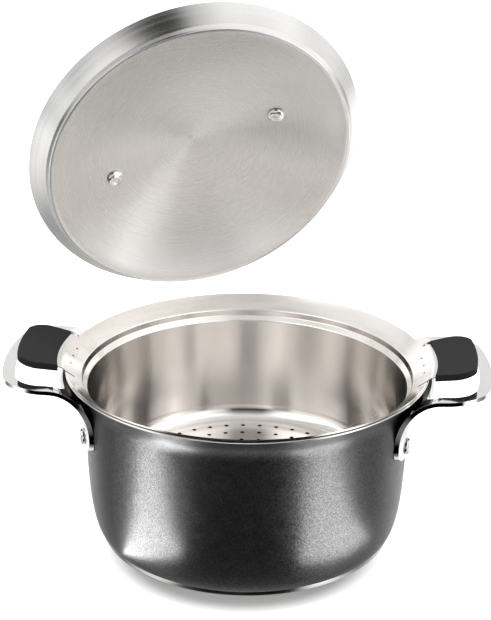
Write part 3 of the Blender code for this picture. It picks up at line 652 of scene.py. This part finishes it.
def handleRows():
    s = handleSizes
    stand = potSizes["gap"] + s["plate"]
    foot = Vector((wallRadius(s["footLow"]) + stand, s["footLow"]))
    leave = Vector((wallRadius(s["footHigh"]) + stand, s["footHigh"]))
    arrive = Vector((s["openStart"] + s["bendEnd"][0], s["loopLow"] - s["bendEnd"][1]))
    bend = curvePoints(leave, leave + Vector(s["bendLeave"]), arrive - Vector(s["bendArrive"]), arrive,
                       s["bendSteps"])
    profile = [foot] + bend + [Vector((s["loopReach"], s["loopLow"]))]
    hair = 1e-6
    lengths = [0.0]
    for before, after in zip(profile, profile[1:]):
        lengths.append(lengths[-1] + (after - before).length)
    total = lengths[-1]

    def at(length):
        number = max(k for k in range(len(profile) - 1) if lengths[k] <= length + hair)
        share = (length - lengths[number]) / (lengths[number + 1] - lengths[number])
        return profile[number].lerp(profile[number + 1], share)

    def where(radius):
        number = max(k for k in range(len(profile) - 1) if profile[k].x <= radius)
        share = (radius - profile[number].x) / (profile[number + 1].x - profile[number].x)
        return lengths[number] + share * (lengths[number + 1] - lengths[number])

    start, end = where(s["openStart"]), where(s["openEnd"])
    shares = [1 - math.cos(k * math.pi / (2 * s["cornerSteps"])) for k in range(s["cornerSteps"] + 1)]
    pitch = s["rowPitch"]
    stops = [s["footCorner"] * share for share in shares]
    stops += [k * pitch for k in range(1, int(total / pitch))
              if s["footCorner"] + s["rowClear"] < k * pitch < start - s["rowClear"]]
    stops += [start + s["openCorner"] * share for share in shares]
    stops += [end - s["openCorner"] * share for share in shares]
    stops += [total - s["loopCorner"] * share for share in shares
              if total - s["loopCorner"] * share > end + s["rowLeast"]]
    rows = []
    for length in sorted(set(stops)):
        ahead = at(min(total, length + s["slopeReach"]))
        along = (ahead - at(max(0.0, length - s["slopeReach"]))).normalized()
        spread = min(1.0, max(0.0, (length - s["spreadStart"]) / (start - s["spreadStart"])))
        spread = spread * spread * (3 - 2 * spread)
        outer = s["footHalfWidth"] + (s["loopHalfWidth"] - s["footHalfWidth"]) * spread
        outer -= cornerDraw(length, s["footCorner"]) + cornerDraw(total - length, s["loopCorner"])
        inside = start - hair <= length <= end + hair
        inner = min(s["openHalfWidth"] - s["openCorner"], outer - s["bandLeast"])
        if inside:
            inner = s["openHalfWidth"] - cornerDraw(length - start, s["openCorner"])
            inner -= cornerDraw(end - length, s["openCorner"])
        rows.append((at(length), Vector((-along.y, along.x)), outer, inner, inside))
    return rows


def buildHandle(name, node, turn):
    s = handleSizes
    rows = handleRows()
    middles, sides = s["middles"], s["sides"]
    tool = bmesh.new()
    layers = []
    for lift in (0.0, s["plate"]):
        layer = []
        for point, normal, outer, inner, _ in rows:
            spot = point + normal * lift
            band = [outer + (inner - outer) * k / sides for k in range(sides)]
            line = [-y for y in band] + [inner * (2 * k / middles - 1) for k in range(middles + 1)]
            line += list(reversed(band))
            points = [Vector((math.sqrt(spot.x ** 2 - y * y), y, spot.y)) for y in line]
            layer.append([tool.verts.new(p * mm) for p in points])
        layers.append(layer)
    lower, upper = layers
    uses = {}
    for row in range(len(rows) - 1):
        pierced = rows[row][4] and rows[row + 1][4]
        for column in range(middles + 2 * sides):
            if pierced and sides <= column < middles + sides:
                continue
            corners = [(row, column), (row, column + 1), (row + 1, column + 1), (row + 1, column)]
            for layer in layers:
                tool.faces.new([layer[i][j] for i, j in corners])
            for pair in zip(corners, corners[1:] + corners[:1]):
                key = tuple(sorted(pair))
                uses[key] = uses.get(key, 0) + 1
    for (a, b), count in uses.items():
        if count == 1:
            tool.faces.new((lower[a[0]][a[1]], lower[b[0]][b[1]], upper[b[0]][b[1]], upper[a[0]][a[1]]))
    bmesh.ops.delete(tool, geom=[v for v in tool.verts if not v.link_faces], context="VERTS")
    handle = addPiece(name, tool, "pot", plateSteel, [node],
                      Matrix.Rotation(turn, 4, "Z"), sharp=60.0)
    softenEdges(handle, s["edgeRound"], segments=5, angle=60.0)


buildHandle("handleRight", "pot_handle_right", 0.0)
buildHandle("handleLeft", "pot_handle_left", math.pi)
print("handles: made")


# rivets of the pot handles, domed outside and flat inside

rivetSizes = {
    "head": 6.3, "dome": 2.4, "collar": 0.7, "shank": 3.2, "tail": 5.8, "tailDome": 1.2, "tailCollar": 0.4,
    "collarLow": 0.3, "edgeBreak": 0.25, "spare": 0.2, "domeSteps": 10, "steps": 48,
    "height": 88.0, "azimuth": 17.7,
}


def domeOutline(radius, dome, base, collar):
    s = rivetSizes
    angles = [k * math.pi / (2 * s["domeSteps"]) for k in range(s["domeSteps"] - 1)]
    points = [(radius * math.sin(angle), base + collar + dome * math.cos(angle)) for angle in angles]
    return points + [(radius, base + collar), (radius, base + collar * s["collarLow"]),
                     (radius - s["edgeBreak"], base)]


def buildRivet(name, node, azimuth):
    s = rivetSizes
    outer = potSizes["gap"] * 2 + handleSizes["plate"]
    inner = potSizes["wall"] + potSizes["gap"] + s["spare"]
    head = domeOutline(s["head"], s["dome"] - s["collar"], outer, s["collar"])
    tail = domeOutline(s["tail"], s["tailDome"] - s["tailCollar"], inner, s["tailCollar"])
    tail = [(r, -z) for r, z in reversed(tail)]
    tool = bmesh.new()
    spinOutline(tool, head + [(s["shank"], outer), (s["shank"], -inner)] + tail, s["steps"])
    lean = Matrix.Rotation(math.pi / 2 + math.radians(potSizes["draft"]), 4, "Y")
    lean = Matrix.Rotation(azimuth, 4, "Z") @ lean
    place = Matrix.Translation(radial(azimuth, wallRadius(s["height"]), s["height"])) @ lean
    addPiece(name, tool, "pot", rivetSteel, [node], place, sharp=40.0)


for sideName, side in (("right", 0.0), ("left", math.pi)):
    for endName, sign in (("front", -1), ("back", 1)):
        turnSign = sign if side == 0.0 else -sign
        buildRivet("rivet" + sideName.title() + endName.title(), "handle_rivet_%s_%s" % (sideName, endName),
                   side + turnSign * math.radians(rivetSizes["azimuth"]))
print("rivets: made")


# lid, measured from the plane of its rim, tipped back about an axis behind the pot's rim
# rimCorner and skirtCorners: how far out from the rim's radius or the crest's outer edge, the height, and how
# far the corner is rounded

lidSizes = {
    "radius": 130.0, "sheet": 1.0, "depth": 15.6, "rise": 16.3, "skirtSlope": 52.8, "steps": 288,
    "rimCorner": (-0.25, -0.2, 0), "rimEdge": [(0.0, 0.0), (-0.1, 0.4), (-0.5, 0.6)],
    "skirtCorners": [(1.9, -13.1, 3.0), (-0.2, -14.6, 0.7)],
    "crestWidth": 3.8, "crestEdge": 1.0, "crestCorner": 1.2, "crestInset": 0.6,
    "domeCorner": 1.4, "domeStart": 3.0, "domeSteps": 40, "seatGap": 0.5,
    "tipAzimuth": 112.95, "tipRadius": 144.2, "tipHeight": 144.2, "tipRise": 4.1, "tipAngle": 69.8,
    "turn": 4.5, "rivetCircle": 66.3, "rivetHead": 6.6, "rivetDome": 3.2, "rivetCollar": 0.6,
    "rivetTail": 5.8, "tailRise": 0.8, "tailCollar": 0.4,
}


def lidPlace():
    s = lidSizes
    azimuth = math.radians(s["tipAzimuth"])
    pivot = radial(azimuth, s["tipRadius"], s["tipHeight"])
    rise = math.radians(s["tipRise"])
    level = azimuth - math.pi / 2
    axis = Vector((math.cos(level) * math.cos(rise), math.sin(level) * math.cos(rise), math.sin(rise)))
    slope = math.radians(s["skirtSlope"])
    inward = s["radius"] - insertSizes["mouthRadius"]
    seat = insertSizes["mouthHeight"] + (inward * math.sin(slope) + s["seatGap"]) / math.cos(slope)
    tip = Matrix.Rotation(-math.radians(s["tipAngle"]), 4, axis)
    tip = Matrix.Translation(pivot) @ tip @ Matrix.Translation(-pivot)
    return tip @ Matrix.Translation((0, 0, seat * mm)) @ Matrix.Rotation(math.radians(s["turn"]), 4, "Z")


def crestInner():
    s = lidSizes
    return s["radius"] - s["depth"] / math.tan(math.radians(s["skirtSlope"])) - s["crestWidth"]


def domeSphere():
    edge, height = crestInner(), lidSizes["rise"] + lidSizes["depth"]
    return (edge * edge + height * height) / (2 * height)


def domeHeight(radius, lift=0.0):
    sphere = domeSphere()
    return lidSizes["rise"] - sphere + math.sqrt((sphere + lift) ** 2 - radius ** 2)


def buildLid():
    s = lidSizes
    edge = crestInner()
    crestOuter = edge + s["crestWidth"]
    domeEdge = edge - s["domeStart"]
    out, height, radius = s["rimCorner"]
    corners = [(s["radius"] + out, height, radius)]
    corners += [(crestOuter + out, height, radius) for out, height, radius in s["skirtCorners"]]
    corners += [(crestOuter - s["crestEdge"], -s["depth"], s["crestCorner"]),
                (edge + s["crestInset"], -s["depth"], s["domeCorner"]), (domeEdge, domeHeight(domeEdge), 0)]
    reaches = [domeEdge * (1 - k / s["domeSteps"]) for k in range(1, s["domeSteps"] + 1)]
    underside = roundedLine(corners, steps=5) + [Vector((r, domeHeight(r))) for r in reaches]
    upper = offsetLine(underside, -s["sheet"])
    upper[-1].x = 0.0
    rim = [Vector((s["radius"] + out, height)) for out, height in s["rimEdge"]]
    tool = bmesh.new()
    spinOutline(tool, list(reversed(underside)) + rim + upper, s["steps"])
    addPiece("lidPlate", tool, "lid", lidSteel, ["lid_plate"], lidPlace(), sharp=40.0)


buildLid()


# lid handle: a strap arched between the two rivets, with a rounded foot at each end

strapSizes = {
    "thickness": 3.0, "width": 14.0, "footWidth": 20.0, "footLength": 24.0, "footSteps": 12, "footTip": 0.42,
    "footTipLeast": 0.3, "halfSpan": 50.0, "height": 50.0, "kneeRise": 3.0, "kneeCorner": 8.0, "legLean": 3.0,
    "corner": 16.0, "archSteps": 12, "taper": 0.7, "edgeRound": 1.1,
}


def buildStrap():
    s = strapSizes
    lift = lidSizes["sheet"] + potSizes["gap"]
    outer = lidSizes["rivetCircle"] + s["footLength"] / 2
    inner = lidSizes["rivetCircle"] - s["footLength"] / 2
    line, widths = [], []
    for number in range(s["footSteps"] + 1):
        share = number / s["footSteps"]
        radius = outer - (outer - inner) * share
        line.append(Vector((radius, domeHeight(radius, lift + s["thickness"] / 2))))
        early = min(1.0, share / s["footTip"])
        widths.append(s["footWidth"] * max(s["footTipLeast"], math.sqrt(max(0.0, 1 - (1 - early) ** 2))))
    knee = line[-1]
    arch = roundedLine([(knee.x, knee.y, 0), (s["halfSpan"], knee.y + s["kneeRise"], s["kneeCorner"]),
                        (s["halfSpan"] - s["legLean"], s["height"], s["corner"]), (0, s["height"], 0)],
                       s["archSteps"])
    for number, point in enumerate(arch[1:]):
        line.append(point)
        widths.append(max(s["width"], s["footWidth"] - s["taper"] * (number + 1)))
    whole = line + [Vector((-p.x, p.y)) for p in reversed(line[:-1])]
    widths = widths + list(reversed(widths[:-1]))
    section = ((1, -1), (1, 1), (0.5, 1), (0, 1), (-0.5, 1),
               (-1, 1), (-1, -1), (-0.5, -1), (0, -1), (0.5, -1))
    tool = bmesh.new()
    rings = []
    for number, point in enumerate(whole):
        along = (whole[min(len(whole) - 1, number + 1)] - whole[max(0, number - 1)]).normalized()
        up = Vector((-along.y, along.x))
        ring = []
        for u, v in section:
            spot = point + up * v * s["thickness"] / 2
            ring.append(tool.verts.new(Vector((spot.x, u * widths[number] / 2, spot.y)) * mm))
        rings.append(ring)
    for ring, following in zip(rings, rings[1:]):
        for k in range(len(section)):
            after = (k + 1) % len(section)
            tool.faces.new((ring[k], ring[after], following[after], following[k]))
    tool.faces.new(list(reversed(rings[0])))
    tool.faces.new(rings[-1])
    strap = addPiece("lidHandle", tool, "lid", plateSteel, ["lid_handle"], lidPlace(),
                     sharp=60.0)
    softenEdges(strap, s["edgeRound"], segments=4)


def buildLidRivet(name, node, sign):
    # its head is under the lid, and its tail on the strap's foot
    s = lidSizes
    r = rivetSizes
    inner = potSizes["gap"] + r["spare"]
    outer = s["sheet"] + strapSizes["thickness"] + potSizes["gap"] * 2
    head = domeOutline(s["rivetHead"], s["rivetDome"] - s["rivetCollar"], inner, s["rivetCollar"])
    head = [(radius, -z) for radius, z in head]
    tail = list(reversed(domeOutline(s["rivetTail"], s["tailRise"], outer, s["tailCollar"])))
    tool = bmesh.new()
    spinOutline(tool, head + [(r["shank"], -inner), (r["shank"], outer)] + tail, r["steps"])
    lean = Matrix.Rotation(sign * math.asin(s["rivetCircle"] / domeSphere()), 4, "Y")
    spot = Matrix.Translation(Vector((sign * s["rivetCircle"], 0.0, domeHeight(s["rivetCircle"]))) * mm)
    addPiece(name, tool, "lid", rivetSteel, [node], lidPlace() @ spot @ lean, sharp=40.0)


buildStrap()
buildLidRivet("lidRivetLeft", "lid_rivet_left", -1)
buildLidRivet("lidRivetRight", "lid_rivet_right", 1)
print("lid: made")


# floor, lamps and surroundings

studio = {
    "floorRadius": 3.0, "floorFacets": 128, "floorTone": "#e9e9e8", "floorRough": 0.9, "floorLift": 0.75,
    # painted shade round the pot: within start of this centre the floor's white glow is left out, and it
    # fades back in by end
    "paintedShadeCentre": (0.0, -0.035, 0.0), "paintedShadeStart": 0.084, "paintedShadeEnd": 0.108,
}


def buildFloor():
    s = studio
    tool = bmesh.new()
    bmesh.ops.create_circle(tool, cap_ends=True, segments=s["floorFacets"], radius=s["floorRadius"])
    mesh = bpy.data.meshes.new("floor")
    tool.to_mesh(mesh)
    tool.free()
    floor = showObject("floor", mesh)
    material, tree, shader = newMaterial("white painted board", {
        "Base Color": linear(s["floorTone"]), "Roughness": s["floorRough"], "Specular IOR Level": 0.0})
    path = addNode(tree, "ShaderNodeLightPath")
    # for the camera the board glows white, but the glow fades out on the ground next to the pot: painted
    # shade there, on top of the pot's own shadow
    place = addNode(tree, "ShaderNodeTexCoord")
    reach = addNode(tree, "ShaderNodeVectorMath", {1: s["paintedShadeCentre"]}, {0: place.outputs["Object"]},
                    operation="DISTANCE")
    rise = addNode(tree, "ShaderNodeMapRange", {1: s["paintedShadeStart"], 2: s["paintedShadeEnd"], 4: s["floorLift"]},
                   {0: reach.outputs["Value"]}, interpolation_type="SMOOTHSTEP")
    glow = addNode(tree, "ShaderNodeEmission", {"Color": (1, 1, 1, 1)}, {"Strength": rise.outputs[0]})
    both = addNode(tree, "ShaderNodeAddShader", links={0: shader.outputs[0], 1: glow.outputs[0]})
    pick = addNode(tree, "ShaderNodeMixShader",
                   links={0: path.outputs["Is Camera Ray"], 1: shader.outputs[0], 2: both.outputs[0]})
    tree.links.new(pick.outputs[0], tree.nodes["Material Output"].inputs["Surface"])
    mesh.materials.append(material)
    floor.visible_glossy = False
    floor.visible_shadow = False


# brightness of the room, by bearing in degrees: 0 is the camera's side and 90 the right. Each zone starts
# with the sine of its elevation. Two tall softboxes stand left and right, with a dark gap in front and two
# behind.
roomZones = [
    (-1.00, [(-180, 1.0), (180, 1.0)]),
    (-0.88, [(-180, 0.5), (-115, 0.4), (-90, 0.9), (-60, 0.3), (60, 0.3), (90, 0.9), (115, 0.5), (180, 0.5)]),
    (-0.60, [(-180, 0.7), (-115, 0.3), (-95, 1.0), (-72, 1.5), (-50, 0.0), (42, 0.0), (60, 1.5), (80, 1.6),
             (105, 0.6), (180, 0.8)]),
    (-0.35, [(-180, 1.4), (-140, 1.7), (-112, 0.1), (-98, 0.4), (-82, 1.3), (-58, 1.8), (-46, 0.1),
             (-38, 0.0), (42, 0.0), (52, 2.0), (68, 2.6), (84, 0.2), (105, 0.1), (128, 2.0), (150, 1.6),
             (180, 1.4)]),
    (-0.13, [(-180, 0.9), (-130, 0.8), (-100, 0.6), (-70, 0.9), (-30, 1.2), (5, 1.0), (22, 0.2), (38, 0.0),
             (52, 0.9), (68, 2.3), (84, 1.8), (105, 0.8), (140, 0.9), (180, 0.9)]),
    (0.10, [(-180, 1.0), (-140, 1.1), (-90, 1.5), (-68, 1.6), (-50, 0.6), (-35, 0.2), (-15, 0.3), (0, 1.0),
            (40, 1.0), (66, 1.1), (82, 0.6), (105, 1.1), (140, 1.1), (180, 1.0)]),
    (0.40, [(-180, 0.85), (-146, 0.95), (-136, 0.3), (-127, 0.0), (-111, 0.0), (-102, 0.7), (-82, 1.4),
            (-64, 2.3), (-45, 1.4), (-22, 0.7), (-12, 0.0), (14, 0.0), (22, 1.0), (40, 1.5), (70, 1.5),
            (110, 1.3), (120, 0.1), (140, 0.1), (148, 0.95), (180, 0.85)]),
    (0.68, [(-180, 1.4), (-148, 1.2), (-130, 0.0), (-112, 0.0), (-100, 0.9), (-70, 1.3), (-50, 1.9),
            (-28, 1.2), (-12, 0.0), (14, 0.0), (25, 0.5), (48, 1.2), (88, 0.8), (112, 1.3), (122, 0.3),
            (140, 0.3), (155, 1.2), (180, 1.4)]),
    (0.86, [(-180, 1.1), (-90, 1.2), (-30, 0.8), (-12, 0.0), (14, 0.0), (30, 0.8), (90, 1.1), (180, 1.1)]),
    (0.95, [(-180, 0.4), (180, 0.4)]),
    (1.00, [(-180, 0.0), (180, 0.0)]),
]


def buildWorld():
    world = bpy.data.worlds.new("studio")
    bpy.context.scene.world = world
    world.use_nodes = True
    tree = world.node_tree
    tree.nodes.clear()
    place = addNode(tree, "ShaderNodeTexCoord")
    apart = addNode(tree, "ShaderNodeSeparateXYZ", links={0: place.outputs["Generated"]})
    toward = addNode(tree, "ShaderNodeMath", {1: -1.0}, {0: apart.outputs[1]}, operation="MULTIPLY")
    bearing = addNode(tree, "ShaderNodeMath", links={0: apart.outputs[0], 1: toward.outputs[0]},
                      operation="ARCTAN2")
    share = addNode(tree, "ShaderNodeMapRange", {1: -math.pi, 2: math.pi}, {0: bearing.outputs[0]})
    strongest = max(value for _, stops in roomZones for _, value in stops)
    around = None
    for number, (height, stops) in enumerate(roomZones):
        ramp = addNode(tree, "ShaderNodeValToRGB", links={0: share.outputs[0]})
        elements = ramp.color_ramp.elements
        for degrees, _ in stops[1:-1]:
            elements.new((degrees + 180) / 360)
        for element, (degrees, value) in zip(elements, stops):
            element.position = (degrees + 180) / 360
            element.color = (value / strongest,) * 3 + (1,)
        if around is None:
            around = ramp.outputs[0]
            continue
        below = roomZones[number - 1][0]
        rise = addNode(tree, "ShaderNodeMapRange", {1: below, 2: height}, {0: apart.outputs[2]})
        mixed = addNode(tree, "ShaderNodeMix", links={0: rise.outputs[0], 6: around, 7: ramp.outputs[0]},
                        data_type="RGBA")
        around = mixed.outputs[2]
    room = addNode(tree, "ShaderNodeBackground", {"Strength": strongest}, {"Color": around})
    white = addNode(tree, "ShaderNodeBackground", {"Color": (1, 1, 1, 1), "Strength": 1.0})
    path = addNode(tree, "ShaderNodeLightPath")
    pick = addNode(tree, "ShaderNodeMixShader",
                   links={0: path.outputs["Is Camera Ray"], 1: room.outputs[0], 2: white.outputs[0]})
    addNode(tree, "ShaderNodeOutputWorld", links={0: pick.outputs[0]})


# lamps: place and aim in metres, turn about the upright in degrees, width and depth in metres, brightness of
# the face, whether steel shows its reflection, and the pieces that it lights (none named: it lights them all)
lamps = {
    "overhead softbox": {
        "place": (0.02, -0.05, 1.7), "aim": (0.02, -0.05, 0.0), "turn": 0, "width": 0.55, "depth": 0.55,
        "glow": 23.0, "shown": False, "pieces": ()},
    "card under the lid": {
        "place": (-0.0047, 0.04, 0.2034), "aim": (-0.043, 0.076, 0.2765), "turn": 0,
        "width": 0.22, "depth": 0.22, "glow": 0.20, "shown": True,
        "pieces": ("lidPlate", "lidRivetLeft", "lidRivetRight")},
    "card over the mouth": {
        "place": (0.0, 0.0, 0.21), "aim": (0.0, 0.0, 0.0), "turn": 0, "width": 0.26, "depth": 0.26,
        "glow": 0.24, "shown": True, "pieces": ("steamerInsert",)},
    "card over the back": {
        "place": (0.0, 0.085, 0.150), "aim": (0.0, 0.085, 0.0), "turn": 0, "width": 0.27, "depth": 0.13,
        "glow": 0.33, "shown": True, "pieces": ("steamerInsert",)},
    "left floor card": {
        "place": (-0.195, -0.152, 0.002), "aim": (-0.195, -0.152, 1.0), "turn": -68,
        "width": 0.075, "depth": 0.245, "glow": 11.0, "shown": True, "pieces": ("potShell",)},
    "right floor card": {
        "place": (0.185, -0.180, 0.002), "aim": (0.185, -0.180, 1.0), "turn": 46,
        "width": 0.10, "depth": 0.24, "glow": 6.8, "shown": True, "pieces": ("potShell",)},
}


def addLamp(name, place, aim, turn, width, depth, glow, shown, pieces):
    lamp = bpy.data.lights.new(name, "AREA")
    lamp.shape = "RECTANGLE"
    lamp.size, lamp.size_y = width, depth
    lamp.energy = glow * math.pi * width * depth
    box = showObject(name, lamp)
    toward = (Vector(aim) - Vector(place)).to_track_quat("-Z", "Y").to_matrix().to_4x4()
    box.matrix_world = Matrix.Translation(place) @ Matrix.Rotation(math.radians(turn), 4, "Z") @ toward
    box.visible_camera = False
    box.visible_glossy = shown
    if pieces:
        lit = bpy.data.collections.new("lit by " + name)
        for pieceName in pieces:
            lit.objects.link(bpy.data.objects[pieceName])
        box.light_linking.receiver_collection = lit


buildFloor()
buildWorld()
for lampName, facts in lamps.items():
    addLamp(lampName, **facts)
print("studio: made")


# camera, measured from the photograph's circles: place in millimetres, focal length and picture width in
# pixels

cameraFacts = {
    "place": (43.3, -1077.6, 606.2), "forward": (-0.03898, 0.92828, -0.3697),
    "up": (-0.02703, 0.36891, 0.9291), "pixels": 1564.0, "width": 491.0, "sensor": 36.0, "clipStart": 0.05,
}


def buildCamera():
    c = cameraFacts
    lens = bpy.data.cameras.new("camera")
    lens.sensor_fit = "HORIZONTAL"
    lens.sensor_width = c["sensor"]
    lens.lens = c["pixels"] / c["width"] * c["sensor"]
    lens.clip_start = c["clipStart"]
    camera = showObject("camera", lens)
    back = -Vector(c["forward"]).normalized()
    right = Vector(c["up"]).cross(back).normalized()
    up = back.cross(right)
    turn = Matrix((right, up, back)).transposed().to_4x4()
    camera.matrix_world = Matrix.Translation(Vector(c["place"]) * mm) @ turn
    bpy.context.scene.camera = camera


buildCamera()
bpy.context.scene.view_settings.view_transform = "Standard"
print("camera: set")
